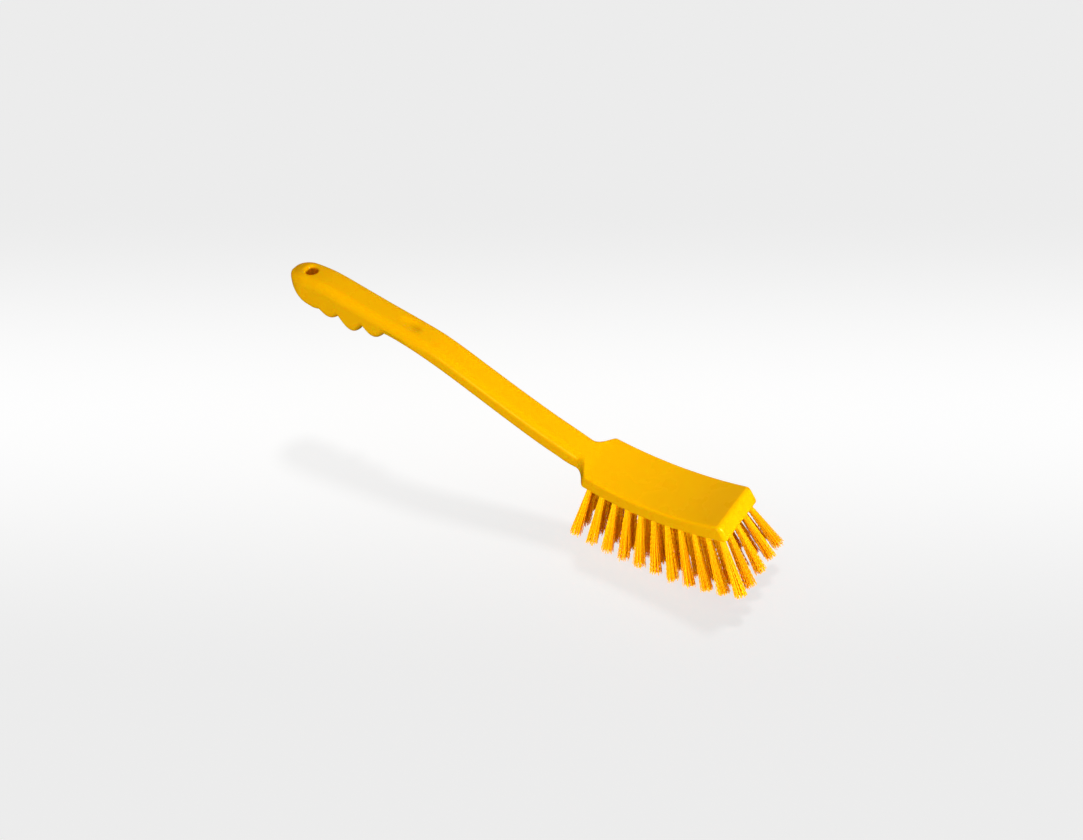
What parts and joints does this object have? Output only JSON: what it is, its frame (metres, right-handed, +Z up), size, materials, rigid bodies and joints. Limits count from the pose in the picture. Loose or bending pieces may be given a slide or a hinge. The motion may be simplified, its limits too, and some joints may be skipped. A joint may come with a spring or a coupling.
{
  "type": "long-handled washing brush",
  "caption": "One-piece plastic handle and hollow-arched block with rows of splayed bristle tufts, finger ridges under the grip, a thumb dimple and a hang hole.",
  "frame": {"origin": "middle of the floor under the brush, with the brush standing on its bristles", "axes": "+X from the grip to the toe of the block, +Y across the block, +Z up out of the block's smooth face"},
  "size_m": [0.4414, 0.074, 0.1357],
  "materials": {
    "moulding": "glossy injection-moulded polypropylene",
    "bristles": "satin crimped polyester filaments",
    "anchors": "plain flat staple wire"
  },
  "bodies": {
    "root": {"handle_block": "moulding", "tuft_r01_c1": "bristles", "tuft_r01_c2": "bristles", "tuft_r01_c3": "bristles", "tuft_r01_c4": "bristles", "tuft_r01_c5": "bristles", "tuft_r02_c1": "bristles", "tuft_r02_c2": "bristles", "tuft_r02_c3": "bristles", "tuft_r02_c4": "bristles", "tuft_r02_c5": "bristles", "tuft_r03_c1": "bristles", "tuft_r03_c2": "bristles", "tuft_r03_c3": "bristles", "tuft_r03_c4": "bristles", "tuft_r03_c5": "bristles", "tuft_r04_c1": "bristles", "tuft_r04_c2": "bristles", "tuft_r04_c3": "bristles", "tuft_r04_c4": "bristles", "tuft_r04_c5": "bristles", "tuft_r05_c1": "bristles", "tuft_r05_c2": "bristles", "tuft_r05_c3": "bristles", "tuft_r05_c4": "bristles", "tuft_r05_c5": "bristles", "tuft_r06_c1": "bristles", "tuft_r06_c2": "bristles", "tuft_r06_c3": "bristles", "tuft_r06_c4": "bristles", "tuft_r06_c5": "bristles", "tuft_r07_c1": "bristles", "tuft_r07_c2": "bristles", "tuft_r07_c3": "bristles", "tuft_r07_c4": "bristles", "tuft_r07_c5": "bristles", "tuft_r08_c1": "bristles", "tuft_r08_c2": "bristles", "tuft_r08_c3": "bristles", "tuft_r08_c4": "bristles", "tuft_r08_c5": "bristles", "tuft_r09_c1": "bristles", "tuft_r09_c2": "bristles", "tuft_r09_c3": "bristles", "tuft_r09_c4": "bristles", "tuft_r09_c5": "bristles", "tuft_r10_c1": "bristles", "tuft_r10_c2": "bristles", "tuft_r10_c3": "bristles", "tuft_r10_c4": "bristles", "tuft_r10_c5": "bristles", "tuft_r11_c1": "bristles", "tuft_r11_c2": "bristles", "tuft_r11_c3": "bristles", "tuft_r11_c4": "bristles", "tuft_r11_c5": "bristles"}
  },
  "joints": []
}
